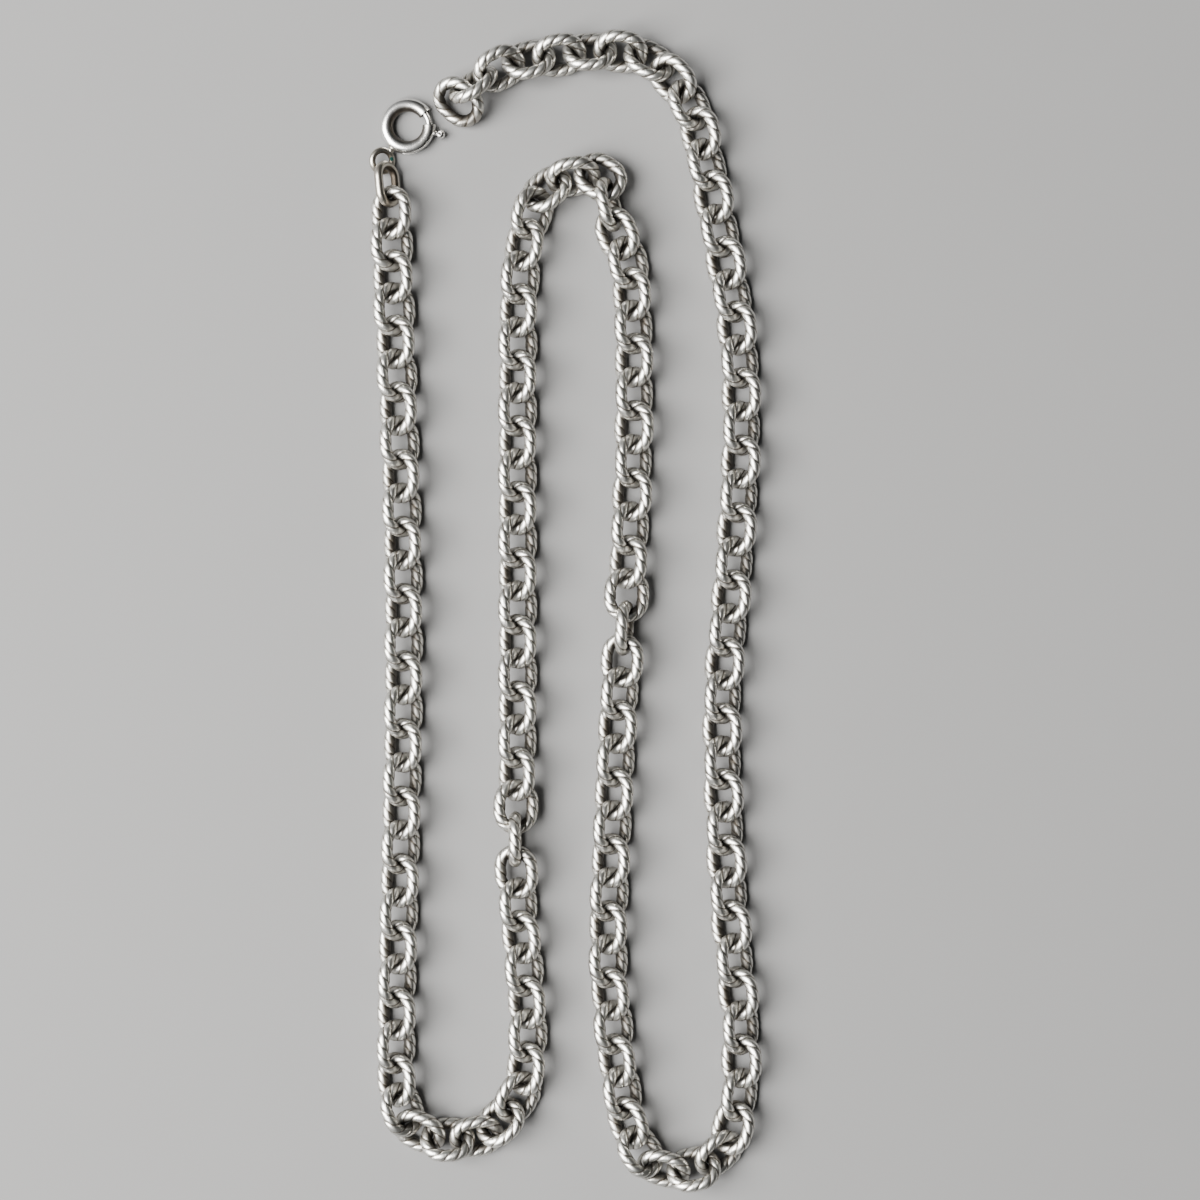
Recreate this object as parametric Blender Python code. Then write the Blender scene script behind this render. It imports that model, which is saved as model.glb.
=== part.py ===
# A silver necklace chain of oval rope-wire links, undone at its spring-ring clasp and laid out in a meander.
# Metres, +Z up. The chain lies on the plane z = 0, seen from above as it was laid down.

import math

import bmesh
import bpy
from mathutils import Euler, Matrix, Vector

MM = 0.001

# The middle of the laid-out chain, in millimetres: every place below is moved by this to bring it to the origin
MIDDLE = (0, -0.14, 0)

# Twisted links: outer length and width, and the wire they are bent from
LINK_LENGTH = 9.6 * MM
LINK_WIDTH = 8.2 * MM
LINK_WIRE = 2.0 * MM
LINK_STEPS = 10
WIRE_SIDES = 5

# In the straight stretches the links are fused in runs: first link, last link, number of runs.
# A run is pulled apart until its links bear on each other, with this share of a link's pitch left slack
# at the next run.
RUN_STRETCHES = ((1, 27, 6), (34, 60, 6), (67, 90, 6), (97, 126, 7))
RUN_SLACK = 0.08

# The smooth link between the first twisted link and the clasp
PLAIN_LENGTH = 8.1 * MM
PLAIN_WIDTH = 5.7 * MM
PLAIN_WIRE = 1.45 * MM
PLAIN_ENDS = ((-30.98, 76.85, 3.06), (-30.34, 70.23, 3.16))
PLAIN_ROLL = -53.7

# The clasp: a hollow ring, its bolt and its eye, with angles counted from +X towards +Y
CLASP_CENTRE = (-27.3, 83.9, 1.15)
CLASP_RADIUS = 3.7 * MM
TUBE_RADIUS = 1.15 * MM
BORE_RADIUS = 0.8 * MM
GAP_START = 3
GAP_END = 36.5
BORE_START = -140
SOCKET_END = 46
SLOT_ANGLES = (-104, -7)
SLOT_HEIGHT = 1.0 * MM
BOLT_RADIUS = 0.5 * MM
BOLT_ANGLES = (-32, 41)
KNOB_ANGLE = -14
STEM_RADIUS = 0.3 * MM
KNOB_RADIUS = 0.72 * MM
KNOB_REACH = 5.85 * MM

EYE_CENTRE = (-31.71, 77.85, 1.48)
EYE_RADIUS = 1.85 * MM
EYE_WIRE = 1.05 * MM
EYE_HEADING = -128.4
EYE_TILT = 10.5
EYE_ROLL = -28.2

# Slack links, in the bends and at the chain's end, with a node each:
# name, centre in millimetres, then heading, rise and roll in degrees
LOOSE_LINKS = (
    ("link_028", (-28.1, -86.2, 3.3), -70, -1, -39),
    ("link_029", (-25.2, -90.1, 2.5), -26, 2, 29),
    ("link_030", (-20.3, -91.5, 2.9), 1, -3, -37),
    ("link_031", (-15.3, -91.0, 2.5), 9, -3, 25),
    ("link_032", (-11.2, -88.4, 2.9), 42, 2, -36),
    ("link_033", (-8.2, -84.2, 2.6), 61, -3, 30),
    ("link_061", (-3.2, 72.7, 2.6), 40, 0, -32),
    ("link_062", (1.4, 74.8, 3.4), 9, 1, 48),
    ("link_063", (6.1, 74.7, 3.4), -34, 7, -8),
    ("link_064", (7.6, 69.9, 3.9), -79, 0, -69),
    ("link_065", (9.0, 64.9, 3.3), -67, -3, 35),
    ("link_066", (10.9, 60.0, 2.9), -79, -1, -36),
    ("link_091", (9.9, -83.3, 3.1), -81, 0, -41),
    ("link_092", (10.9, -88.6, 3.0), -73, 2, 39),
    ("link_093", (13.0, -93.4, 3.6), -55, 2, -38),
    ("link_094", (17.0, -96.5, 2.9), -16, 1, 36),
    ("link_095", (22.2, -96.5, 3.5), 12, 0, -38),
    ("link_096", (26.6, -93.9, 2.9), 42, -3, 35),
    ("link_127", (23.4, 82.3, 3.1), 103, 0, -41),
    ("link_128", (21.5, 87.3, 2.8), 114, 0, 35),
    ("link_129", (18.6, 91.7, 3.2), 132, 1, -42),
    ("link_130", (14.6, 95.0, 2.8), 150, 0, 34),
    ("link_131", (9.6, 96.4, 3.4), 173, 1, -43),
    ("link_132", (4.3, 96.4, 3.1), 184, 1, 32),
    ("link_133", (-1.0, 95.8, 3.3), 189, 0, -42),
    ("link_134", (-6.3, 95.0, 3.3), 195, 3, 31),
    ("link_135", (-11.3, 93.4, 3.8), 208, 1, -41),
    ("link_136", (-15.8, 90.6, 4.0), 219, 9, 57),
    ("end_link", (-18.4, 87.8, 2.9), -42, -10, 34),
)

# Where the links lie: link number, then x, y and the height of the chain's axis, in millimetres
ROUTE = (
    (1, -29.96, 68.53, 3.1),
    (2, -30.0, 63.1, 3.0),
    (5, -29.3, 46.3, 2.9),
    (10, -28.2, 17.3, 3.0),
    (15, -27.9, -11.7, 3.0),
    (20, -28.4, -40.9, 3.0),
    (24, -29.0, -64.0, 3.02),
    (27, -29.1, -81.0, 3.02),
    (28, -28.2, -86.3, 3.0),
    (31, -15.2, -91.0, 3.0),
    (33, -8.3, -84.4, 3.0),
    (34, -6.6, -79.2, 3.0),
    (36, -6.6, -67.7, 3.0),
    (39, -8.1, -50.9, 3.1),
    (41, -8.6, -39.5, 4.1),
    (43, -8.3, -28.3, 3.1),
    (46, -8.2, -11.2, 3.0),
    (50, -8.2, 11.9, 3.0),
    (55, -8.2, 40.3, 3.0),
    (58, -7.8, 57.4, 3.0),
    (60, -5.9, 68.5, 3.0),
    (61, -3.2, 72.7, 3.0),
    (64, 7.6, 69.9, 3.0),
    (66, 10.9, 60.0, 3.0),
    (68, 11.8, 48.9, 3.0),
    (72, 11.8, 25.7, 3.0),
    (75, 10.9, 8.3, 3.1),
    (77, 10.3, -3.1, 4.1),
    (79, 9.4, -14.4, 3.1),
    (84, 7.9, -43.3, 3.0),
    (87, 7.4, -60.6, 3.0),
    (89, 8.4, -72.0, 3.0),
    (91, 9.9, -83.4, 3.0),
    (94, 17.0, -96.6, 3.0),
    (96, 26.6, -94.0, 3.0),
    (97, 29.1, -89.5, 3.0),
    (98, 30.2, -83.7, 3.0),
    (100, 30.4, -72.1, 3.0),
    (103, 28.7, -54.7, 3.0),
    (106, 27.6, -37.7, 3.0),
    (110, 27.2, -15.0, 3.0),
    (114, 29.2, 8.1, 3.0),
    (118, 30.5, 31.4, 3.0),
    (121, 29.7, 48.7, 3.0),
    (124, 26.7, 65.5, 3.0),
    (126, 24.5, 77.0, 3.0),
    (128, 21.5, 87.3, 3.0),
)

# How far the chain is twisted about its own axis: link number and degrees
TWIST = (
    (1, 45),
    (39, 48),
    (41, 90),
    (43, 132),
    (46, 135),
    (59, 135),
    (61, 138),
    (66, 222),
    (68, 225),
    (75, 228),
    (77, 280),
    (79, 313),
    (128, 315),
)

# How steeply the links lean on the ground, to one side and the other in turn: link number and degrees
LEAN = (
    (1, 32),
    (3, 32),
    (5, 36),
    (8, 40),
    (9, 40),
    (127, 40),
    (128, 40),
)

SILVER = (0.80, 0.78, 0.73, 1)
BRIGHT_SILVER = (0.88, 0.87, 0.84, 1)


def clear_scene():
    for obj in list(bpy.data.objects):
        bpy.data.objects.remove(obj)


def make_collection(name):
    collection = bpy.data.collections.new(name)
    bpy.context.scene.collection.children.link(collection)
    return collection


def make_material(name, colour, roughness):
    material = bpy.data.materials.new(name)
    material.use_nodes = True
    shader = material.node_tree.nodes["Principled BSDF"]
    shader.inputs["Base Color"].default_value = colour
    shader.inputs["Roughness"].default_value = roughness
    shader.inputs["Metallic"].default_value = 1.0
    return material


def add_object(name, mesh, collection, material=None):
    mesh.shade_smooth()
    mesh.set_sharp_from_angle(angle=math.radians(40))
    obj = bpy.data.objects.new(name, mesh)
    collection.objects.link(obj)
    if material:
        mesh.materials.append(material)
    return obj


def as_cutter(obj):
    obj.hide_render = True
    obj.display_type = "WIRE"
    return obj


def combine(obj, other, operation):
    modifier = obj.modifiers.new(operation.title(), "BOOLEAN")
    modifier.operation = operation
    modifier.object = as_cutter(other)


def finish_mesh(bm, name):
    bmesh.ops.recalc_face_normals(bm, faces=bm.faces)
    mesh = bpy.data.meshes.new(name)
    bm.to_mesh(mesh)
    bm.free()
    return mesh


# Route: a smooth curve through the stations, with the link number as its parameter


def spot(point):
    return (Vector(point) - Vector(MIDDLE)) * MM


def slope(stations, index):
    before = stations[max(index - 1, 0)]
    after = stations[min(index + 1, len(stations) - 1)]
    return (after[1] - before[1]) / (after[0] - before[0])


def along(stations, number):
    """The value at a link number, on a cubic curve through (number, value) stations."""
    index = 0
    while index < len(stations) - 2 and stations[index + 1][0] < number:
        index += 1
    (start, first), (end, last) = stations[index], stations[index + 1]
    span = end - start
    t = (number - start) / span
    pull = (t**3 - 2 * t**2 + t) * span * slope(stations, index)
    push = (t**3 - t**2) * span * slope(stations, index + 1)
    return first * (2 * t**3 - 3 * t**2 + 1) + pull + last * (3 * t**2 - 2 * t**3) + push


def route_point(number):
    stations = [(row[0], spot(row[1:])) for row in ROUTE]
    return along(stations, number)


def twist_at(number):
    return along([(row[0], float(row[1])) for row in TWIST], number)


def link_roll(link):
    side = twist_at(link) + (0 if link % 2 else 90)
    lean = along([(row[0], float(row[1])) for row in LEAN], link)
    return side - (45 - lean) * math.sin(math.radians(2 * side))


def link_runs():
    """The first and the last link of each fused run."""
    runs = []
    for first, last, count in RUN_STRETCHES:
        starts = [first + (last + 1 - first) * step // count for step in range(count + 1)]
        runs += [(start, following - 1) for start, following in zip(starts, starts[1:])]
    return runs


# Wire shapes


def oval_mesh(name, length, width, wire, steps, sides):
    """A closed wire ring in the XY plane, drawn out along X, with a ridge of its wire facing inwards."""
    radius = (width - wire) / 2
    bm = bmesh.new()
    section = bmesh.ops.create_circle(bm, segments=sides, radius=wire / 2)["verts"]
    bmesh.ops.rotate(bm, verts=section, matrix=Matrix.Rotation(math.radians(90), 3, "X"))
    bmesh.ops.rotate(bm, verts=section, matrix=Matrix.Rotation(math.radians(-90), 3, "Y"))
    bmesh.ops.translate(bm, verts=section, vec=(radius, 0, 0))
    bmesh.ops.spin(
        bm,
        geom=bm.verts[:] + bm.edges[:],
        axis=(0, 0, 1),
        cent=(0, 0, 0),
        angle=math.tau,
        steps=steps,
        use_merge=True,
    )
    bmesh.ops.remove_doubles(bm, verts=bm.verts, dist=0.01 * MM)
    for vert in bm.verts:
        if abs(vert.co.x) > 0.01 * MM:
            vert.co.x += math.copysign((length - width) / 2, vert.co.x)
    return finish_mesh(bm, name)


def lay_along(start, end, roll):
    """The place of a link whose long axis runs from start to end. Positive roll lifts its left side."""
    ahead = (end - start).normalized()
    left = Vector((0, 0, 1)).cross(ahead).normalized()
    up = ahead.cross(left)
    turned = Matrix((ahead, left, up)).transposed() @ Matrix.Rotation(math.radians(roll), 3, "X")
    return Matrix.Translation((start + end) / 2) @ turned.to_4x4()


def link_place(link, number):
    return lay_along(route_point(number - 0.5), route_point(number + 0.5), link_roll(link))


def arc_wire(name, start, end, radius, wire_radius, steps, resolution, collection):
    """A round wire bent to an arc about the clasp's centre, made as a curve and turned into a mesh."""
    curve = bpy.data.curves.new(name, "CURVE")
    curve.dimensions = "3D"
    curve.bevel_depth = wire_radius
    curve.bevel_resolution = resolution
    curve.use_fill_caps = True
    spline = curve.splines.new("POLY")
    spline.points.add(steps)
    for step, point in enumerate(spline.points):
        angle = math.radians(start + (end - start) * step / steps)
        point.co = (radius * math.cos(angle), radius * math.sin(angle), 0, 1)
    guide = bpy.data.objects.new(name + "_curve", curve)
    collection.objects.link(guide)
    bpy.context.view_layer.update()
    graph = bpy.context.evaluated_depsgraph_get()
    raw = bpy.data.meshes.new_from_object(guide.evaluated_get(graph))
    bm = bmesh.new()
    bm.from_mesh(raw)
    bmesh.ops.remove_doubles(bm, verts=bm.verts, dist=0.005 * MM)
    mesh = finish_mesh(bm, name)
    bpy.data.objects.remove(guide)
    return mesh


def rod_mesh(name, start, end, radius, angle):
    """A short rod that points away from the clasp's centre at an angle."""
    bm = bmesh.new()
    bmesh.ops.create_cone(
        bm, cap_ends=True, segments=8, radius1=radius, radius2=radius, depth=end - start
    )
    bmesh.ops.rotate(bm, verts=bm.verts, matrix=Matrix.Rotation(math.radians(90), 3, "Y"))
    bmesh.ops.translate(bm, verts=bm.verts, vec=((start + end) / 2, 0, 0))
    bmesh.ops.rotate(bm, verts=bm.verts, matrix=Matrix.Rotation(math.radians(angle), 3, "Z"))
    return finish_mesh(bm, name)


def slot_mesh(name):
    """The cutter for the slot: a flat band turned about the clasp's axis."""
    start, end = (math.radians(angle) for angle in SLOT_ANGLES)
    bm = bmesh.new()
    corners = []
    for reach, height in ((0.1, -1), (2, -1), (2, 1), (0.1, 1)):
        place = Vector((CLASP_RADIUS + reach * MM, 0, height * SLOT_HEIGHT / 2))
        corners.append(bm.verts.new(Matrix.Rotation(start, 3, "Z") @ place))
    face = bm.faces.new(corners)
    bmesh.ops.spin(
        bm, geom=[face], axis=(0, 0, 1), cent=(0, 0, 0), angle=end - start, steps=12
    )
    bmesh.ops.recalc_face_normals(bm, faces=bm.faces)
    return finish_mesh(bm, name)


# Pieces


def add_run(first, last, mesh, pieces, helpers, material):
    middle = (first + last) / 2
    pitch = 1 + RUN_SLACK / (last - first)
    run = add_object(f"links_{first:03d}_to_{last:03d}", mesh.copy(), pieces, material)
    run.matrix_world = link_place(first, middle + (first - middle) * pitch)
    for link in range(first + 1, last + 1):
        other = add_object(f"link_{link:03d}", mesh.copy(), helpers)
        other.matrix_world = link_place(link, middle + (link - middle) * pitch)
        combine(run, other, "UNION")


def add_chain(pieces, helpers, material):
    mesh = oval_mesh("twisted_link", LINK_LENGTH, LINK_WIDTH, LINK_WIRE, LINK_STEPS, WIRE_SIDES)
    for first, last in link_runs():
        add_run(first, last, mesh, pieces, helpers, material)
    for name, centre, heading, rise, roll in LOOSE_LINKS:
        link = add_object(name, mesh.copy(), pieces, material)
        ahead = Euler((0, math.radians(-rise), math.radians(heading))).to_matrix() @ Vector((MM, 0, 0))
        place = spot(centre)
        link.matrix_world = lay_along(place - ahead, place + ahead, roll)


def add_plain_link(pieces, material):
    mesh = oval_mesh("plain_link", PLAIN_LENGTH, PLAIN_WIDTH, PLAIN_WIRE, 12, 6)
    link = add_object("plain_link", mesh, pieces, material)
    start, end = (spot(point) for point in PLAIN_ENDS)
    link.matrix_world = lay_along(start, end, PLAIN_ROLL)


def add_clasp(pieces, helpers, material):
    centre = Matrix.Translation(spot(CLASP_CENTRE))

    tube = add_object(
        "clasp_tube",
        arc_wire("clasp_tube", GAP_END, 360 + GAP_START, CLASP_RADIUS, TUBE_RADIUS, 28, 2, helpers),
        pieces,
        material,
    )
    bore = arc_wire("bore", BORE_START, GAP_START + 4, CLASP_RADIUS, BORE_RADIUS, 14, 2, helpers)
    socket = arc_wire("socket", GAP_END - 4, SOCKET_END, CLASP_RADIUS, BORE_RADIUS, 3, 2, helpers)
    slot = slot_mesh("slot")
    for cutter in (bore, socket, slot):
        cutter_object = add_object(cutter.name + "_cutter", cutter, helpers)
        cutter_object.matrix_world = centre
        combine(tube, cutter_object, "DIFFERENCE")
    tube.matrix_world = centre

    bolt = add_object(
        "clasp_bolt",
        arc_wire("clasp_bolt", *BOLT_ANGLES, CLASP_RADIUS, BOLT_RADIUS, 9, 2, helpers),
        pieces,
        material,
    )
    bolt.matrix_world = centre
    stem_mesh = rod_mesh("stem", CLASP_RADIUS, KNOB_REACH, STEM_RADIUS, KNOB_ANGLE)
    stem = add_object("knob_stem", stem_mesh, helpers)
    stem.matrix_world = centre
    combine(bolt, stem, "UNION")
    bm = bmesh.new()
    bmesh.ops.create_uvsphere(bm, u_segments=10, v_segments=6, radius=KNOB_RADIUS)
    turn = Matrix.Rotation(math.radians(KNOB_ANGLE), 3, "Z")
    bmesh.ops.translate(bm, verts=bm.verts, vec=turn @ Vector((KNOB_REACH, 0, 0)))
    knob = add_object("knob_ball", finish_mesh(bm, "knob_ball"), helpers)
    knob.matrix_world = centre
    combine(bolt, knob, "UNION")


def add_eye(pieces, material):
    width = 2 * EYE_RADIUS + EYE_WIRE
    eye = add_object("clasp_eye", oval_mesh("clasp_eye", width, width, EYE_WIRE, 16, 6), pieces, material)
    turn = Matrix.Rotation(math.radians(EYE_HEADING), 4, "Z")
    tilt = Matrix.Rotation(math.radians(-EYE_TILT), 4, "Y")
    roll = Matrix.Rotation(math.radians(EYE_ROLL), 4, "X")
    eye.matrix_world = Matrix.Translation(spot(EYE_CENTRE)) @ turn @ tilt @ roll


def main():
    clear_scene()
    pieces = make_collection("necklace_chain")
    helpers = make_collection("cutters")
    silver = make_material("aged_silver", SILVER, 0.35)
    bright = make_material("bright_silver", BRIGHT_SILVER, 0.22)
    add_chain(pieces, helpers, silver)
    add_plain_link(pieces, silver)
    add_clasp(pieces, helpers, bright)
    add_eye(pieces, bright)


main()
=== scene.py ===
# A silver rope-link necklace, its spring-ring clasp undone, laid out in a meander and seen from above.
import math
import random

import bmesh
import bpy
from mathutils import Euler, Matrix, Vector


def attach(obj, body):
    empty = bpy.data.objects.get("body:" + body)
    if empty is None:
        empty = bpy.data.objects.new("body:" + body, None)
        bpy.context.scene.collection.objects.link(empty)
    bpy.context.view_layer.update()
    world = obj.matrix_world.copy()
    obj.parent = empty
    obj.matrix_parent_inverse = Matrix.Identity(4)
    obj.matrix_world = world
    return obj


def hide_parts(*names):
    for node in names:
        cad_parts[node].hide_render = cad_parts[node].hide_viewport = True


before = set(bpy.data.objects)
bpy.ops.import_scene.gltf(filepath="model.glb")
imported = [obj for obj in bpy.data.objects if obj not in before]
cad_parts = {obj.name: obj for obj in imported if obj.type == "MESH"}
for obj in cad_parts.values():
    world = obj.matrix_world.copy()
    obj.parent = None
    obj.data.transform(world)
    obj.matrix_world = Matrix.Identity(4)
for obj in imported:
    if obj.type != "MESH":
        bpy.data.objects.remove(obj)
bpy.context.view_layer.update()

mm = 0.001
dice = random.Random(137)

weldDistance = 0.01 * mm

# Places are written in millimetres, and taking this middle off them centres the laid-out chain
chainMiddle = Vector((0, -0.14, 0))


def spot(point):
    return (Vector(point) - chainMiddle) * mm


# Camera and photo frame

cameraSetup = {
    "above": (6.04, 1.87),  # millimetres, the point of the ground under the lens
    "height": 430,
    "frameWidth": 207.2,  # what the picture spans at the height of the chain's axis
    "axisHeight": 3.2,
    "sensor": 36,
    "clip": (0.01, 20),  # metres
}


def addCamera(setup):
    data = bpy.data.cameras.new("camera")
    data.sensor_width = setup["sensor"]
    data.lens = setup["sensor"] * (setup["height"] - setup["axisHeight"]) / setup["frameWidth"]
    data.clip_start, data.clip_end = setup["clip"]
    camera = bpy.data.objects.new("camera", data)
    camera.location = Vector((*setup["above"], setup["height"])) * mm
    bpy.context.scene.collection.objects.link(camera)
    bpy.context.scene.camera = camera


# Small helpers


def newObject(name, bm, material):
    mesh = bpy.data.meshes.new(name)
    bm.to_mesh(mesh)
    bm.free()
    mesh.materials.append(material)
    mesh.shade_smooth()
    obj = bpy.data.objects.new(name, mesh)
    bpy.context.scene.collection.objects.link(obj)
    return obj


def turned(angle, axis):
    return Matrix.Rotation(math.radians(angle), 4, axis)


paintedShadeSetup = {
    "unshadedUp": 0.7,  # faces whose normal points up this much get no painted shade
    "shadeFade": 0.65,
    "bowHeight": 4.5 * mm,  # bows lower than this get painted shade, as the next link shades them
    "bowFade": 1.1 * mm,
}


# How much painted shade a spot gets: 0 where a piece faces up, 1 on its sides, its underside and its low
# bows
def markPaintedShade(bm):
    bm.normal_update()
    layer = bm.verts.layers.float.new("paintedShade")
    bow = bm.verts.layers.float.get("bow")
    for vert in bm.verts:
        sideways = (paintedShadeSetup["unshadedUp"] - vert.normal.z) / paintedShadeSetup["shadeFade"]
        dipped = vert[bow] * (paintedShadeSetup["bowHeight"] - vert.co.z) / paintedShadeSetup["bowFade"] if bow else 0
        vert[layer] = min(max(sideways, dipped, 0), 1)


# Material building blocks


def addNode(tree, kind, **values):
    node = tree.nodes.new(kind)
    for name, value in values.items():
        if hasattr(node, name):
            setattr(node, name, value)
        else:
            node.inputs[name].default_value = value
    return node


# Inputs 6 and 7 and output 2 are the ones for colours
def mixColour(tree, factor, first, second):
    mix = addNode(tree, "ShaderNodeMix", data_type="RGBA")
    tree.links.new(factor, mix.inputs["Factor"])
    for socket, colour in ((mix.inputs[6], first), (mix.inputs[7], second)):
        if isinstance(colour, tuple):
            socket.default_value = (*colour, 1)
        else:
            tree.links.new(colour, socket)
    return mix.outputs[2]


def ramp(tree, value, low, high, toLow=0.0, toHigh=1.0):
    node = addNode(tree, "ShaderNodeMapRange", interpolation_type="SMOOTHSTEP")
    tree.links.new(value, node.inputs["Value"])
    for name, amount in (("From Min", low), ("From Max", high), ("To Min", toLow), ("To Max", toHigh)):
        node.inputs[name].default_value = amount
    return node.outputs["Result"]


def combine(tree, operation, first, second):
    node = addNode(tree, "ShaderNodeMath", operation=operation, use_clamp=True)
    for socket, value in ((node.inputs[0], first), (node.inputs[1], second)):
        if isinstance(value, (int, float)):
            socket.default_value = value
        else:
            tree.links.new(value, socket)
    return node.outputs["Value"]


silverAgeLook = {
    "patches": {"Detail": 4.0, "Roughness": 0.6},
    "specks": {"Scale": 2600.0, "Detail": 3.0, "Roughness": 0.7},
    "dents": {"Scale": 900.0, "Detail": 3.0, "Roughness": 0.55},
    "scratches": {"Detail": 2.0, "Roughness": 0.5},
    "scratchStretch": (1, 0.12, 0.6),
    "scratchTurn": (0.3, 0.2, 0.5),  # radians
    "patchEdge": (0.46, 0.68),  # where in the noise a patch starts and where it is full
    "speckEdge": (0.56, 0.72),
    "scratchEdge": (0.55, 0.62),
    "scratchDepth": 0.25,  # beside the dents
}


# Patches of tarnish, fine handling scratches and a soft dented height, all in object space
def buildTarnishGroup(look):
    group = bpy.data.node_groups.new("silverAge", "ShaderNodeTree")
    face = group.interface
    face.new_socket("Patch Scale", in_out="INPUT", socket_type="NodeSocketFloat")
    face.new_socket("Scratch Scale", in_out="INPUT", socket_type="NodeSocketFloat")
    face.new_socket("Patches", in_out="OUTPUT", socket_type="NodeSocketFloat")
    face.new_socket("Specks", in_out="OUTPUT", socket_type="NodeSocketFloat")
    face.new_socket("Scratches", in_out="OUTPUT", socket_type="NodeSocketFloat")
    face.new_socket("Height", in_out="OUTPUT", socket_type="NodeSocketFloat")
    inside = addNode(group, "NodeGroupInput")
    outside = addNode(group, "NodeGroupOutput")
    place = addNode(group, "ShaderNodeTexCoord")
    patches = addNode(group, "ShaderNodeTexNoise", **look["patches"])
    specks = addNode(group, "ShaderNodeTexNoise", **look["specks"])
    dents = addNode(group, "ShaderNodeTexNoise", **look["dents"])
    stretch = addNode(group, "ShaderNodeMapping", Scale=look["scratchStretch"], Rotation=look["scratchTurn"])
    scratches = addNode(group, "ShaderNodeTexNoise", **look["scratches"])
    link = group.links.new
    for texture in (patches, specks, dents, stretch):
        link(place.outputs["Object"], texture.inputs["Vector"])
    link(inside.outputs["Patch Scale"], patches.inputs["Scale"])
    link(stretch.outputs["Vector"], scratches.inputs["Vector"])
    link(inside.outputs["Scratch Scale"], scratches.inputs["Scale"])
    link(ramp(group, patches.outputs["Fac"], *look["patchEdge"]), outside.inputs["Patches"])
    link(ramp(group, specks.outputs["Fac"], *look["speckEdge"]), outside.inputs["Specks"])
    lines = ramp(group, scratches.outputs["Fac"], *look["scratchEdge"])
    link(lines, outside.inputs["Scratches"])
    depth = combine(group, "MULTIPLY", lines, look["scratchDepth"])
    link(combine(group, "SUBTRACT", dents.outputs["Fac"], depth), outside.inputs["Height"])
    return group


# A metal with the age group in it, its dents already in the normal
def startMetal(name, look):
    material = bpy.data.materials.new(name)
    material.use_nodes = True
    tree = material.node_tree
    shader = tree.nodes["Principled BSDF"]
    shader.inputs["Metallic"].default_value = 1.0
    age = addNode(tree, "ShaderNodeGroup", node_tree=silverAge)
    age.inputs["Patch Scale"].default_value = look["patchScale"]
    age.inputs["Scratch Scale"].default_value = look["scratchScale"]
    bump = addNode(tree, "ShaderNodeBump", Strength=look["bumpStrength"], Distance=look["bump"])
    tree.links.new(age.outputs["Height"], bump.inputs["Height"])
    tree.links.new(bump.outputs["Normal"], shader.inputs["Normal"])
    return material, tree, shader, age.outputs


def attribute(tree, name):
    return addNode(tree, "ShaderNodeAttribute", attribute_name=name).outputs["Fac"]


ropeSilver = {
    # Each strand is light on its crest, darker towards the grooves and nearly black in them: oxide in the
    # grooves and painted shade
    "crest": (0.88, 0.87, 0.825),
    "flank": (0.50, 0.465, 0.41),
    "groove": (0.03, 0.026, 0.021),
    "tarnishAndShade": (0.115, 0.094, 0.07),
    "flankEdge": (0.25, 0.9),  # shares of the groove's depth
    "grooveEdge": (0.72, 1.0),
    "crookGrimeAndShade": (0.05, 0.5, 0.0, 0.9),  # inner from and to, grime and painted shade from and to
    "innerTarnish": (0.0, 0.8),
    # painted shade on the sides, undersides and low bows
    "paintedSideShade": (0.0, 1.0, 0.0, 0.85),
    "clouds": (0.0, 1.0, 0.7, 1.0),
    "flankTarnishAndShade": 0.3,
    "mostTarnishAndShade": 0.9,
    "tarnishDulls": 0.7,
    "scratchDulls": 0.2,
    "roughness": (0.35, 0.62),  # rubbed and dull
    "patchScale": 260.0,
    "scratchScale": 2400.0,
    "bump": 0.00006,
    "bumpStrength": 0.6,
}


def makeRopeSilver(look):
    material, tree, shader, age = startMetal("ropeSilver", look)
    groove = attribute(tree, "groove")
    inner = attribute(tree, "inner")
    # Darker towards the grooves: oxide in them and painted shade
    flank = ramp(tree, groove, *look["flankEdge"])
    # Where the bows interlock, their crooks are darkened nearly black: dirt and painted shade between the
    # links
    grimeAndShade = combine(tree, "MULTIPLY", ramp(tree, inner, *look["crookGrimeAndShade"]), attribute(tree, "bow"))
    deep = combine(tree, "MAXIMUM", ramp(tree, groove, *look["grooveEdge"]), grimeAndShade)
    # Sides, undersides and low bows get painted shade, laid on with the tarnish of the inner side
    sides = ramp(tree, attribute(tree, "paintedShade"), *look["paintedSideShade"])
    hidden = combine(tree, "MAXIMUM", ramp(tree, inner, *look["innerTarnish"]), sides)
    dirtAndShade = combine(tree, "MULTIPLY", hidden, ramp(tree, age["Patches"], *look["clouds"]))
    stainAndShade = combine(tree, "ADD", dirtAndShade, combine(tree, "MULTIPLY", flank, look["flankTarnishAndShade"]))
    stainAndShade = combine(tree, "MULTIPLY", stainAndShade, look["mostTarnishAndShade"])
    speckled = combine(tree, "MAXIMUM", stainAndShade, combine(tree, "MULTIPLY", age["Specks"], flank))
    colour = mixColour(tree, flank, look["crest"], look["flank"])
    colour = mixColour(tree, speckled, colour, look["tarnishAndShade"])
    colour = mixColour(tree, deep, colour, look["groove"])
    tree.links.new(colour, shader.inputs["Base Color"])
    dull = combine(tree, "MAXIMUM", combine(tree, "MULTIPLY", speckled, look["tarnishDulls"]), deep)
    dull = combine(tree, "ADD", dull, combine(tree, "MULTIPLY", age["Scratches"], look["scratchDulls"]))
    tree.links.new(ramp(tree, dull, 0.0, 1.0, *look["roughness"]), shader.inputs["Roughness"])
    return material


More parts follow.
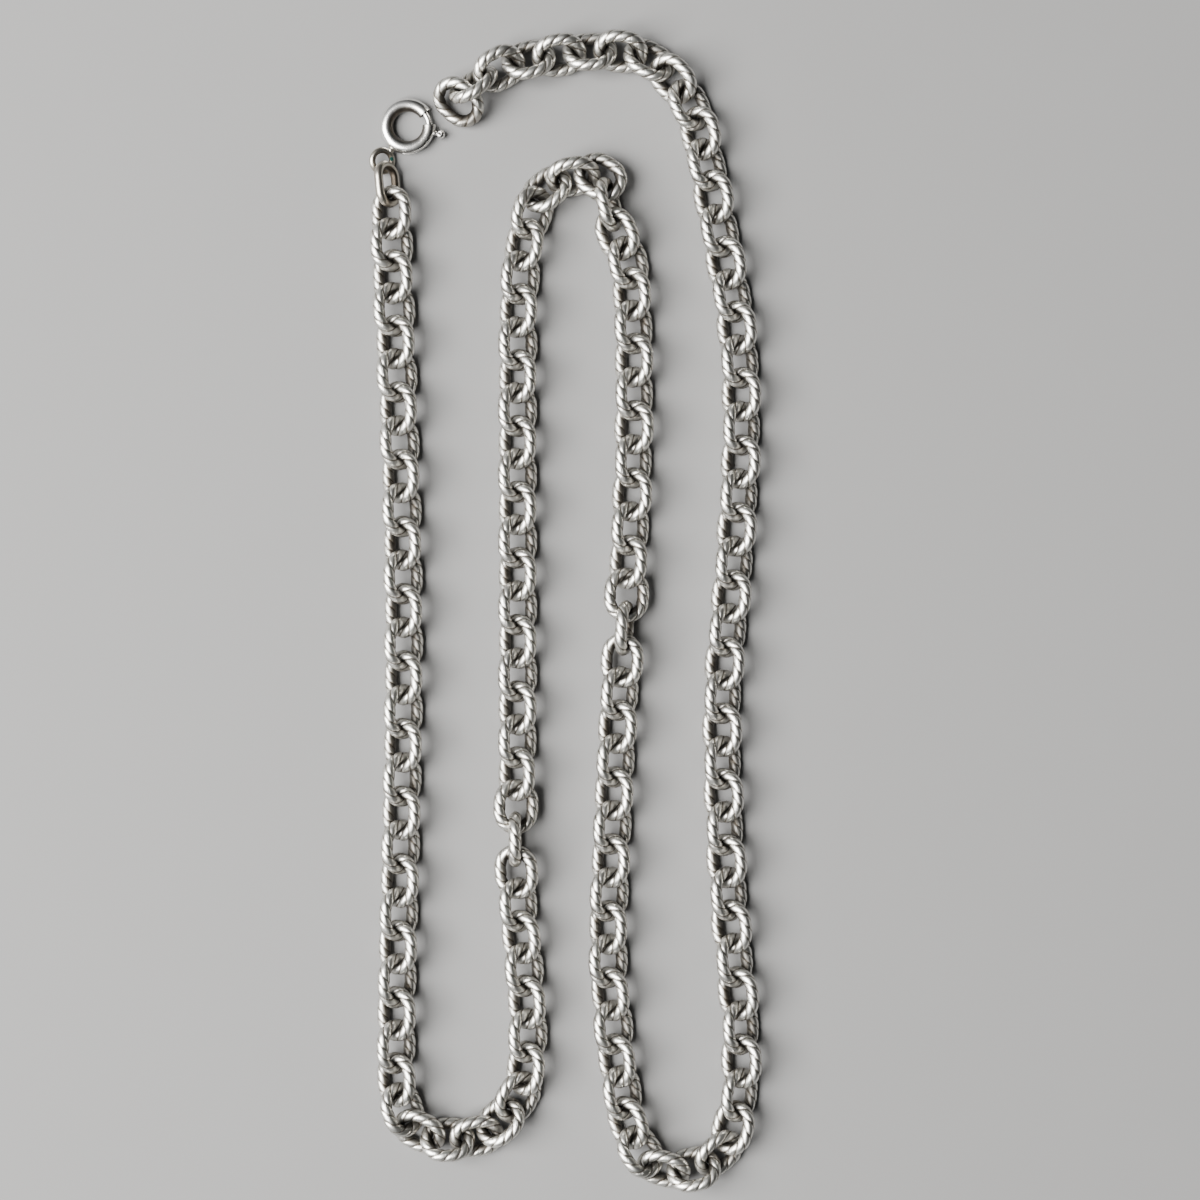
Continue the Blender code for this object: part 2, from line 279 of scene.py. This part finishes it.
claspSilver = {
    "metal": (0.93, 0.925, 0.905),
    "dulled": (0.66, 0.62, 0.55),
    "clouding": 0.35,  # how far the patches dull the metal
    "inside": (0.06, 0.045, 0.03),
    "insideTarnishAndShade": (0.05, 0.55, 0.0, 0.92),  # inner from and to, tarnish and painted shade from and to
    # painted shade on the sides and undersides
    "paintedSideShade": (0.2, 1.0, 0.0, 0.6),
    "speckTarnish": 0.25,
    "verdigris": (0.001, 0.03, 0.024),
    "crustEdge": (0.2, 0.45),
    "crustBreak": 0.2,  # how far specks eat into the verdigris
    "crustShine": 0.1,
    "tarnishDulls": 0.5,
    "scratchDulls": 0.12,
    "roughness": (0.26, 0.6),  # rubbed and dull
    "patchScale": 190.0,
    "scratchScale": 1800.0,
    "bump": 0.00003,
    "bumpStrength": 0.3,
}

wireSilver = {
    **claspSilver,
    "metal": (0.60, 0.565, 0.50),
    "dulled": (0.38, 0.34, 0.28),
    "clouding": 0.8,
    "roughness": (0.32, 0.6),
}


# The inner attribute says how far a face looks into its ring, where the brown tarnish sits. On the clasp
# tube and the knob's hollow it carries painted shade as well.
def makeSmoothSilver(name, look):
    material, tree, shader, age = startMetal(name, look)
    shader.inputs["Specular IOR Level"].default_value = look["crustShine"]
    inside = ramp(tree, attribute(tree, "inner"), *look["insideTarnishAndShade"])
    # Sides and undersides get painted shade, laid on with the inner tarnish
    sides = ramp(tree, attribute(tree, "paintedShade"), *look["paintedSideShade"])
    stainAndShade = combine(tree, "MAXIMUM", inside, sides)
    stainAndShade = combine(tree, "MAXIMUM", stainAndShade, combine(tree, "MULTIPLY", age["Specks"], look["speckTarnish"]))
    clouded = combine(tree, "MULTIPLY", age["Patches"], look["clouding"])
    colour = mixColour(tree, clouded, look["metal"], look["dulled"])
    colour = mixColour(tree, stainAndShade, colour, look["inside"])
    broken = combine(tree, "MULTIPLY", age["Specks"], look["crustBreak"])
    crust = combine(tree, "SUBTRACT", attribute(tree, "verdigris"), broken)
    crust = ramp(tree, crust, *look["crustEdge"])
    tree.links.new(mixColour(tree, crust, colour, look["verdigris"]), shader.inputs["Base Color"])
    tree.links.new(ramp(tree, crust, 0.0, 1.0, 1.0, 0.0), shader.inputs["Metallic"])
    lines = combine(tree, "MULTIPLY", age["Scratches"], look["scratchDulls"])
    dull = combine(tree, "MAXIMUM", combine(tree, "MULTIPLY", stainAndShade, look["tarnishDulls"]), crust)
    dull = combine(tree, "ADD", dull, lines)
    tree.links.new(ramp(tree, dull, 0.0, 1.0, *look["roughness"]), shader.inputs["Roughness"])
    return material


silverAge = buildTarnishGroup(silverAgeLook)
ropeMetal = makeRopeSilver(ropeSilver)
claspMetal = makeSmoothSilver("claspSilver", claspSilver)
wireMetal = makeSmoothSilver("plainWireSilver", wireSilver)
print("materials ready")


# Where the links lie: link number, then x, y and the height of the chain's axis, in millimetres
route = [
    (1, -29.96, 68.53, 3.1),
    (2, -30.0, 63.1, 3.0),
    (5, -29.3, 46.3, 2.9),
    (10, -28.2, 17.3, 3.0),
    (15, -27.9, -11.7, 3.0),
    (20, -28.4, -40.9, 3.0),
    (24, -29.0, -64.0, 3.02),
    (27, -29.1, -81.0, 3.02),
    (28, -28.2, -86.3, 3.0),
    (31, -15.2, -91.0, 3.0),
    (33, -8.3, -84.4, 3.0),
    (34, -6.6, -79.2, 3.0),
    (36, -6.6, -67.7, 3.0),
    (39, -8.1, -50.9, 3.1),
    (41, -8.6, -39.5, 3.97),
    (43, -8.3, -28.3, 3.1),
    (46, -8.2, -11.2, 3.0),
    (50, -8.2, 11.9, 3.0),
    (55, -8.2, 40.3, 3.0),
    (58, -7.8, 57.4, 3.0),
    (60, -5.9, 68.5, 3.0),
    (61, -3.2, 72.7, 3.0),
    (64, 7.6, 69.9, 3.0),
    (66, 10.9, 60.0, 3.0),
    (68, 11.8, 48.9, 3.0),
    (72, 11.8, 25.7, 3.0),
    (75, 10.9, 8.3, 3.1),
    (77, 10.3, -3.1, 3.97),
    (79, 9.4, -14.4, 3.1),
    (84, 7.9, -43.3, 3.0),
    (87, 7.4, -60.6, 3.0),
    (89, 8.4, -72.0, 3.0),
    (91, 9.9, -83.4, 3.0),
    (94, 17.0, -96.6, 3.0),
    (96, 26.6, -94.0, 3.0),
    (97, 29.1, -89.5, 3.0),
    (98, 30.2, -83.7, 3.0),
    (100, 30.4, -72.1, 3.0),
    (103, 28.7, -54.7, 3.0),
    (106, 27.6, -37.7, 3.0),
    (110, 27.2, -15.0, 3.0),
    (114, 29.2, 8.1, 3.0),
    (118, 30.5, 31.4, 3.0),
    (121, 29.7, 48.7, 3.0),
    (124, 26.7, 65.5, 3.0),
    (126, 24.5, 77.0, 3.0),
    (128, 21.5, 87.3, 3.0),
]

# How far the chain is twisted about its own axis, and how steeply its links lean: link number and degrees
twist = [
    (1, 45),
    (39, 48),
    (41, 90),
    (43, 132),
    (46, 135),
    (59, 135),
    (61, 138),
    (66, 222),
    (68, 225),
    (75, 228),
    (77, 280),
    (79, 313),
    (128, 315),
]
lean = [(1, 32), (3, 32), (5, 36), (8, 40), (9, 40), (127, 40), (128, 40)]

# Slack links in the bends and at the chain's end: centre in millimetres, heading, rise and roll in degrees
looseLinks = {
    "link_028": ((-28.1, -86.2, 3.3), -70, -1, -39),
    "link_029": ((-25.2, -90.1, 2.5), -26, 2, 29),
    "link_030": ((-20.3, -91.5, 2.9), 1, -3, -37),
    "link_031": ((-15.3, -91.0, 2.5), 9, -3, 25),
    "link_032": ((-11.2, -88.4, 2.9), 42, 2, -36),
    "link_033": ((-8.2, -84.2, 2.6), 61, -3, 30),
    "link_061": ((-3.2, 72.7, 2.6), 40, 0, -32),
    "link_062": ((1.4, 74.8, 3.4), 9, 1, 48),
    "link_063": ((6.1, 74.7, 3.4), -34, 7, -8),
    "link_064": ((7.6, 69.9, 3.9), -79, 0, -69),
    "link_065": ((9.0, 64.9, 3.3), -67, -3, 35),
    "link_066": ((10.9, 60.0, 2.9), -79, -1, -36),
    "link_091": ((9.9, -83.3, 3.1), -81, 0, -41),
    "link_092": ((10.9, -88.6, 3.0), -73, 2, 39),
    "link_093": ((13.0, -93.4, 3.6), -55, 2, -38),
    "link_094": ((17.0, -96.5, 2.9), -16, 1, 36),
    "link_095": ((22.2, -96.5, 3.5), 12, 0, -38),
    "link_096": ((26.6, -93.9, 2.9), 42, -3, 35),
    "link_127": ((23.4, 82.3, 3.1), 103, 0, -41),
    "link_128": ((21.5, 87.3, 2.8), 114, 0, 35),
    "link_129": ((18.6, 91.7, 3.2), 132, 1, -42),
    "link_130": ((14.6, 95.0, 2.8), 150, 0, 34),
    "link_131": ((9.6, 96.4, 3.4), 173, 1, -43),
    "link_132": ((4.3, 96.4, 3.1), 184, 1, 32),
    "link_133": ((-1.0, 95.8, 3.3), 189, 0, -42),
    "link_134": ((-6.3, 95.0, 3.3), 195, 3, 31),
    "link_135": ((-11.3, 93.4, 3.8), 208, 1, -41),
    "link_136": ((-15.8, 90.6, 4.0), 219, 9, 57),
    "end_link": ((-18.4, 87.8, 2.9), -42, -10, 34),
}


def slopeAt(stations, index):
    before = stations[max(index - 1, 0)]
    after = stations[min(index + 1, len(stations) - 1)]
    return (after[1] - before[1]) / (after[0] - before[0])


def along(stations, number):
    index = 0
    while index < len(stations) - 2 and stations[index + 1][0] < number:
        index += 1
    (start, first), (end, last) = stations[index], stations[index + 1]
    span = end - start
    t = (number - start) / span
    pull = (t**3 - 2 * t**2 + t) * span * slopeAt(stations, index)
    push = (t**3 - t**2) * span * slopeAt(stations, index + 1)
    return first * (2 * t**3 - 3 * t**2 + 1) + pull + last * (3 * t**2 - 2 * t**3) + push


# The place of a link whose long axis runs from start to end; a positive roll lifts its left side
def layAlong(start, end, roll):
    ahead = (end - start).normalized()
    left = Vector((0, 0, 1)).cross(ahead).normalized()
    up = ahead.cross(left)
    facing = Matrix((ahead, left, up)).transposed() @ Matrix.Rotation(math.radians(roll), 3, "X")
    return Matrix.Translation((start + end) / 2) @ facing.to_4x4()


# A link of a straight run: where the twist alone would tilt it by 45 degrees, it leans as the list says
def runLinkPlace(link):
    stations = [(row[0], spot(row[1:])) for row in route]
    side = along(twist, link) + (0 if link % 2 else 90)
    roll = side - (45 - along(lean, link)) * math.sin(math.radians(2 * side))
    return layAlong(along(stations, link - 0.5), along(stations, link + 0.5), roll)


def looseLinkPlace(name):
    centre, heading, rise, roll = looseLinks[name]
    ahead = Euler((0, math.radians(-rise), math.radians(heading))).to_matrix() @ Vector((mm, 0, 0))
    return layAlong(spot(centre) - ahead, spot(centre) + ahead, roll)


ropeLink = {
    "length": 9.6 * mm,
    "width": 8.15 * mm,
    "rope": 2.16 * mm,  # outside diameter over the strands
    "strands": 3,
    "lobes": 12,  # strand crests met along one link
    "sidesPerStrand": 8,
    "steps": 60,
    "grooveDepth": 0.15,  # as a share of the rope's radius
    "crestFlatness": 3.4,  # the strands are pressed flat: higher is flatter, with narrower grooves
    "bowReach": 2.5 * mm,  # half the width of the bows that meet the next link
    "bowFade": 0.7 * mm,
    "variants": 7,
    "variantTurn": 17,  # degrees that the lay is turned on from one variant to the next
}


# How deep the groove is at an angle of the rope's section: 0 on a strand's crest, 1 between two strands
def grooveAt(angle, look):
    pitch = math.tau / look["strands"]
    away = abs((angle + pitch / 2) % pitch - pitch / 2)
    return (2 * away / pitch) ** look["crestFlatness"]


# The place of a wire's section on an oval of two half circles and two straights. The share runs once round
# the oval, and the section turns about the wire so many times on the way.
def ovalPlace(share, bend, straight, turns):
    half = math.pi * bend + 2 * straight
    distance = share * 2 * half
    farSide = distance >= half
    distance -= half * farSide
    quarter = math.pi * bend / 2
    if quarter < distance < quarter + 2 * straight:
        angle = math.pi / 2
        centre = Vector((straight - (distance - quarter), bend, 0))
    else:
        firstEnd = distance <= quarter
        angle = (distance if firstEnd else distance - 2 * straight) / bend
        centre = Vector((straight if firstEnd else -straight, 0, 0))
        centre += bend * Vector((math.cos(angle), math.sin(angle), 0))
    facing = Matrix.Rotation(angle, 4, "Z") @ Matrix.Rotation(-math.tau * turns * share, 4, "Y")
    return Matrix.Rotation(math.pi * farSide, 4, "Z") @ Matrix.Translation(centre) @ facing


# A wire's section, drawn flat round the origin, is stood up at the first place and extruded from place to
# place, until the last ring is welded to the first
def sweepSection(bm, places, phase=0):
    upright = places[0] @ turned(90, "X") @ turned(phase, "Z")
    bmesh.ops.transform(bm, verts=bm.verts, matrix=upright)
    edges = bm.edges[:]
    for here, there in zip(places, places[1:]):
        made = bmesh.ops.extrude_edge_only(bm, edges=edges)["geom"]
        edges = [item for item in made if isinstance(item, bmesh.types.BMEdge)]
        ring = [item for item in made if isinstance(item, bmesh.types.BMVert)]
        bmesh.ops.transform(bm, verts=ring, matrix=there @ here.inverted())
    bmesh.ops.remove_doubles(bm, verts=bm.verts, dist=weldDistance)
    bmesh.ops.recalc_face_normals(bm, faces=bm.faces)


# How far a spot of the wire looks into its own ring: 0 on the outer half, 1 on the innermost line
def markInner(bm, bend, straight, wire):
    layer = bm.verts.layers.float.new("inner")
    for vert in bm.verts:
        core = Vector((min(max(vert.co.x, -straight), straight), 0))
        vert[layer] = min(max((bend - (vert.co.xy - core).length) / (wire / 2), 0), 1)


# A rope bent to an oval: from ring to ring its section is turned on by the lay of the strands
def makeRopeLink(name, look, phase):
    sides = look["strands"] * look["sidesPerStrand"]
    bend = (look["width"] - look["rope"]) / 2
    straight = (look["length"] - look["width"]) / 2
    turns = look["lobes"] / look["strands"]
    places = [ovalPlace(count / look["steps"], bend, straight, turns) for count in range(look["steps"] + 1)]
    bm = bmesh.new()
    grooveLayer = bm.verts.layers.float.new("groove")
    for vert in bmesh.ops.create_circle(bm, segments=sides, radius=look["rope"] / 2)["verts"]:
        vert[grooveLayer] = grooveAt(math.atan2(vert.co.y, vert.co.x), look)
        vert.co *= 1 - look["grooveDepth"] * vert[grooveLayer]
    sweepSection(bm, places, phase)
    markInner(bm, bend, straight, look["rope"])
    bowLayer = bm.verts.layers.float.new("bow")
    for vert in bm.verts:
        vert[bowLayer] = min(max((look["bowReach"] - abs(vert.co.y)) / look["bowFade"], 0), 1)
    mesh = bpy.data.meshes.new(name)
    bm.to_mesh(mesh)
    bm.free()
    return mesh


# One piece for a CAD node: its rope links, each a copy of one of the bent ropes, some turned end for end
def addRopePiece(node, places):
    bm = bmesh.new()
    for place in places:
        known = len(bm.verts)
        bm.from_mesh(dice.choice(ropeMeshes))
        bm.verts.ensure_lookup_table()
        added = bm.verts[known:]
        if dice.random() < 0.5:
            bmesh.ops.rotate(bm, verts=added, matrix=turned(180, "Z"), cent=(0, 0, 0))
        bmesh.ops.transform(bm, verts=added, matrix=place)
    markPaintedShade(bm)
    piece = newObject(node.replace("link", "rope"), bm, ropeMetal)
    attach(piece, "necklace")
    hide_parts(node)
    return piece


ropeMeshes = [
    makeRopeLink(f"bentRope{number}", ropeLink, number * ropeLink["variantTurn"])
    for number in range(ropeLink["variants"])
]
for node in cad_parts:
    if node.startswith("links_"):
        first, last = int(node[6:9]), int(node[13:16])
        addRopePiece(node, [runLinkPlace(link) for link in range(first, last + 1)])
    elif node in looseLinks:
        addRopePiece(node, [looseLinkPlace(node)])
for mesh in ropeMeshes:
    bpy.data.meshes.remove(mesh)
print("rope links laid")


# Every smooth piece is placed by this: the plain link, the eye and the clasp
def placePiece(name, bm, material, node, body="necklace"):
    markPaintedShade(bm)
    piece = newObject(name, bm, material)
    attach(piece, body)
    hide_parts(node)
    return piece


plainLink = {
    "ends": ((-30.98, 76.85, 3.06), (-30.34, 70.23, 3.16)),
    "roll": -53.7,
    "length": 8.2 * mm,
    "width": 5.8 * mm,
    "wire": 1.5 * mm,
    "sides": 20,
    "steps": 72,
}


# A round wire bent to an oval
def bendPlainWire(bm, length, width, wire, sides, steps):
    bend = (width - wire) / 2
    straight = (length - width) / 2
    places = [ovalPlace(count / steps, bend, straight, 0) for count in range(steps + 1)]
    bmesh.ops.create_circle(bm, segments=sides, radius=wire / 2)
    sweepSection(bm, places)
    markInner(bm, bend, straight, wire)


def addPlainLink(look):
    bm = bmesh.new()
    bendPlainWire(bm, look["length"], look["width"], look["wire"], look["sides"], look["steps"])
    start, end = (spot(point) for point in look["ends"])
    bmesh.ops.transform(bm, verts=bm.verts, matrix=layAlong(start, end, look["roll"]))
    return placePiece("plainLink", bm, wireMetal, "plain_link")


claspEye = {
    "centre": (-31.71, 77.85, 1.48),
    "radius": 1.85 * mm,
    "wire": 1.08 * mm,
    "heading": -128.4,
    "tilt": 10.5,
    "roll": -28.2,
    "sides": 18,
    "steps": 60,
    "solder": (-30.27, 79.76, 1.15),  # millimetres, the blob that holds the eye to the tube
    "solderSize": (0.58 * mm, 0.6 * mm, 0.56 * mm),
    "solderRoundness": 3,
    "verdigris": (-30.09, 78.23, 1.25),
    "verdigrisReach": 0.55 * mm,
}


def addClaspEye(look):
    bm = bmesh.new()
    width = 2 * look["radius"] + look["wire"]
    bendPlainWire(bm, width, width, look["wire"], look["sides"], look["steps"])
    facing = turned(look["heading"], "Z") @ turned(-look["tilt"], "Y") @ turned(look["roll"], "X")
    bmesh.ops.transform(bm, verts=bm.verts, matrix=Matrix.Translation(spot(look["centre"])) @ facing)
    blob = Matrix.Translation(spot(look["solder"])) @ turned(look["heading"], "Z")
    blob = blob @ Matrix.Diagonal((*look["solderSize"], 1))
    bmesh.ops.create_icosphere(bm, subdivisions=look["solderRoundness"], radius=1, matrix=blob)
    green = bm.verts.layers.float.new("verdigris")
    for vert in bm.verts:
        away = (vert.co - spot(look["verdigris"])).length / look["verdigrisReach"]
        vert[green] = max(1 - away, 0)
    return placePiece("claspEye", bm, wireMetal, "clasp_eye")


claspTube = {
    "centre": (-27.3, 83.9, 1.15),
    "radius": 3.7 * mm,
    "tube": 1.15 * mm,  # outside radius of the tube
    "bore": 0.84 * mm,
    "tubeAngles": (36.5, 363),
    "tubeSides": 32,
    "tubeSteps": 90,
    "boreAngles": (-140, 10),
    "boreSides": 24,
    "boreSteps": 50,
    "socketAngles": (30, 46),
    "socketSteps": 8,
    "slotAngles": (-104, -7),
    "slotHeight": 1.0 * mm,
    "slotDepth": 0.1,  # share of the tube's radius, outwards from its middle, where the slot ends
    "slotSteps": 36,
    "sharpEdge": 35,  # edges bent more than this get a bevel, in degrees
    "edge": 0.05 * mm,  # asked of the bevel, but the overlap clamp makes it hair-thin, so they stay crisp
    "edgeSteps": 2,
    "skin": 0.12 * mm,  # anything deeper in the tube than this is its inside
    "darkSide": (-0.8, 0.6),  # the side inside the ring turned from the light, where painted shade is added to the tarnish
    "darkShare": 0.45,
}


# A bar bent round the clasp's centre: its flat section stands on the XZ plane and is spun about Z
def bendBar(bm, corners, start, end, steps):
    bmesh.ops.rotate(bm, verts=corners, matrix=turned(start, "Z"), cent=(0, 0, 0))
    face = bmesh.ops.contextual_create(bm, geom=corners)["faces"]
    bmesh.ops.spin(
        bm, geom=face, axis=(0, 0, 1), cent=(0, 0, 0), angle=math.radians(end - start), steps=steps
    )
    bmesh.ops.recalc_face_normals(bm, faces=bm.faces)


def roundBar(reach, radius, angles, sides, steps):
    bm = bmesh.new()
    verts = bmesh.ops.create_circle(bm, segments=sides, radius=radius)["verts"]
    bmesh.ops.transform(bm, verts=verts, matrix=Matrix.Translation((reach, 0, 0)) @ turned(90, "X"))
    bendBar(bm, bm.verts[:], *angles, steps)
    return bm


# A flat bar that reaches from the tube's bore out past its skin
def slotBar(look):
    bm = bmesh.new()
    verts = bmesh.ops.create_grid(bm, x_segments=1, y_segments=1, size=0.5)["verts"]  # 1 by 1
    bmesh.ops.delete(bm, geom=bm.faces[:], context="FACES_ONLY")
    stretch = Matrix.Diagonal((2 * look["tube"], 1, look["slotHeight"], 1))
    outwards = Matrix.Translation((look["radius"] + (1 + look["slotDepth"]) * look["tube"], 0, 0))
    bmesh.ops.transform(bm, verts=verts, matrix=outwards @ stretch @ turned(90, "X"))
    bendBar(bm, bm.verts[:], *look["slotAngles"], look["slotSteps"])
    return bm


def bevelSharp(bm, sharperThan, offset, segments):
    sharp = [edge for edge in bm.edges if edge.calc_face_angle(0) > math.radians(sharperThan)]
    bmesh.ops.bevel(
        bm,
        geom=sharp,
        offset=offset,
        segments=segments,
        profile=0.5,
        affect="EDGES",
        clamp_overlap=True,
        material=-1,
    )


# The tube is cut by its bore, the socket for the bolt's tip and the slot for the knob. The cuts' edges get a
# hair-thin bevel that keeps them crisp; the bore and the ring's inner side carry tarnish and painted shade.
def addClaspTube(look):
    radius, bore, sides = look["radius"], look["bore"], look["boreSides"]
    whole = roundBar(radius, look["tube"], look["tubeAngles"], look["tubeSides"], look["tubeSteps"])
    tube = newObject("tubeBlank", whole, claspMetal)
    shapes = {
        "boreCutter": roundBar(radius, bore, look["boreAngles"], sides, look["boreSteps"]),
        "socketCutter": roundBar(radius, bore, look["socketAngles"], sides, look["socketSteps"]),
        "slotCutter": slotBar(look),
    }
    cutters = [newObject(name, shape, claspMetal) for name, shape in shapes.items()]
    for cutter in cutters:
        cut = tube.modifiers.new(cutter.name, "BOOLEAN")
        cut.operation = "DIFFERENCE"
        cut.solver = "EXACT"
        cut.object = cutter
    bpy.context.view_layer.update()
    bm = bmesh.new()
    bm.from_object(tube, bpy.context.evaluated_depsgraph_get())
    for helper in (tube, *cutters):
        bpy.data.objects.remove(helper)
    bmesh.ops.remove_doubles(bm, verts=bm.verts, dist=weldDistance)
    bevelSharp(bm, look["sharpEdge"], look["edge"], look["edgeSteps"])
    inner = bm.verts.layers.float.new("inner")
    # The bore and the ring's inner wall get tarnish and painted shade, thickest on the side turned from the
    # light
    darkSide = Vector(look["darkSide"])
    for vert in bm.verts:
        across = vert.co.xy.length - radius
        inBore = math.hypot(across, vert.co.z) < look["tube"] - look["skin"]
        facing = max(vert.co.xy.normalized().dot(darkSide), 0)
        tarnishAndShade = 1 - look["darkShare"] + look["darkShare"] * facing
        vert[inner] = 1 if inBore else min(max(-across / look["tube"], 0), 1) * tarnishAndShade
    bmesh.ops.translate(bm, verts=bm.verts, vec=spot(look["centre"]))
    return placePiece("claspTube", bm, claspMetal, "clasp_tube")


claspBolt = {
    "centre": claspTube["centre"],
    "radius": claspTube["radius"],
    "angles": (-32, 41),
    "wire": 0.56 * mm,  # radius of the bolt
    "sides": 18,
    "steps": 36,
    "sharpEdge": 60,
    "tip": 0.2 * mm,  # asked of its rounded ends, and the overlap clamp leaves 0.11 mm
    "tipSteps": 3,
    "knobAngle": -14,
    "knobReach": 5.85 * mm,
    "knob": 0.8 * mm,
    "knobSegments": (28, 20),
    "stem": 0.38 * mm,
    "stemFoot": 1.15,  # how much thicker the stem is at the bolt
    "stemSides": 16,
    "dimple": (0.22 * mm, 0.3 * mm),  # depth and radius of the hollow in the knob
    "dimpleShift": (0.12 * mm, -0.05 * mm),
}


# The sprung bolt, with its stem through the slot and the knob for a thumbnail
def addClaspBolt(look):
    bm = roundBar(look["radius"], look["wire"], look["angles"], look["sides"], look["steps"])
    bevelSharp(bm, look["sharpEdge"], look["tip"], look["tipSteps"])
    outwards = turned(look["knobAngle"], "Z")
    length = look["knobReach"] - look["radius"]
    bmesh.ops.create_cone(
        bm,
        cap_ends=True,
        segments=look["stemSides"],
        radius1=look["stem"] * look["stemFoot"],
        radius2=look["stem"],
        depth=length,
        matrix=outwards @ Matrix.Translation((look["radius"] + length / 2, 0, 0)) @ turned(90, "Y"),
    )
    inner = bm.verts.layers.float.new("inner")
    columns, rows = look["knobSegments"]
    ball = bmesh.ops.create_uvsphere(bm, u_segments=columns, v_segments=rows, radius=look["knob"])["verts"]
    depth, wide = look["dimple"]
    right, back = look["dimpleShift"]
    # The knob's hollow is marked inner, so it darkens: tarnish and painted shade
    for vert in ball:
        away = Vector((vert.co.x + right, vert.co.y + back)).length / wide
        if vert.co.z > 0 and away < 1:
            vert.co.z -= depth * (1 - away**2)
            vert[inner] = 1 - away**2
    bmesh.ops.transform(bm, verts=ball, matrix=outwards @ Matrix.Translation((look["knobReach"], 0, 0)))
    bmesh.ops.translate(bm, verts=bm.verts, vec=spot(look["centre"]))
    return placePiece("claspBolt", bm, claspMetal, "clasp_bolt", "bolt")


addPlainLink(plainLink)
addClaspEye(claspEye)
addClaspTube(claspTube)
addClaspBolt(claspBolt)
print("plain link and clasp made")


# Floor and light

studio = {
    "floorColour": (0.22, 0.22, 0.22),
    "floorPaler": 1.03,  # the floor's grain
    "floorGrain": {"Scale": 60.0, "Detail": 3.0},
    "floorRoughness": 0.75,
    "floorSize": 3.0,
    "skyColour": (0.98, 0.99, 1.0),
    "skyTowards": (-0.85, -0.1, 0.5),  # where the room is brightest
    "skyEdge": (-0.2, 1.0),  # cosines of the angle from there, for the two strengths
    "skyStrength": (0.0, 0.4),
    "windows": (
        # name, place in metres, size in metres, power in watts, colour
        ("keyWindow", (-0.72, -0.1, 0.88), 0.95, 60, (1.0, 0.985, 0.96)),
    ),
}


def addFloor(look):
    material = bpy.data.materials.new("paleFloor")
    material.use_nodes = True
    tree = material.node_tree
    shader = tree.nodes["Principled BSDF"]
    shader.inputs["Roughness"].default_value = look["floorRoughness"]
    grain = addNode(tree, "ShaderNodeTexNoise", **look["floorGrain"])
    place = addNode(tree, "ShaderNodeTexCoord")
    tree.links.new(place.outputs["Object"], grain.inputs["Vector"])
    paler = tuple(part * look["floorPaler"] for part in look["floorColour"])
    colour = mixColour(tree, grain.outputs["Fac"], look["floorColour"], paler)
    tree.links.new(colour, shader.inputs["Base Color"])
    bm = bmesh.new()
    bmesh.ops.create_grid(bm, x_segments=1, y_segments=1, size=look["floorSize"] / 2)
    newObject("floor", bm, material)


def addLights(look):
    world = bpy.data.worlds.new("studioSky")
    world.use_nodes = True
    tree = world.node_tree
    sky = tree.nodes["Background"]
    sky.inputs["Color"].default_value = (*look["skyColour"], 1)
    around = addNode(tree, "ShaderNodeTexCoord")
    facing = addNode(tree, "ShaderNodeVectorMath", operation="DOT_PRODUCT")
    facing.inputs[1].default_value = Vector(look["skyTowards"]).normalized()
    tree.links.new(around.outputs["Generated"], facing.inputs[0])
    strength = ramp(tree, facing.outputs["Value"], *look["skyEdge"], *look["skyStrength"])
    tree.links.new(strength, sky.inputs["Strength"])
    bpy.context.scene.world = world
    for name, place, size, power, colour in look["windows"]:
        data = bpy.data.lights.new(name, "AREA")
        data.size = size
        data.energy = power
        data.color = colour
        lamp = bpy.data.objects.new(name, data)
        lamp.location = place
        lamp.rotation_euler = (-Vector(place)).to_track_quat("-Z", "Y").to_euler()
        bpy.context.scene.collection.objects.link(lamp)


addCamera(cameraSetup)
addFloor(studio)
addLights(studio)
print("camera, floor and lights placed")
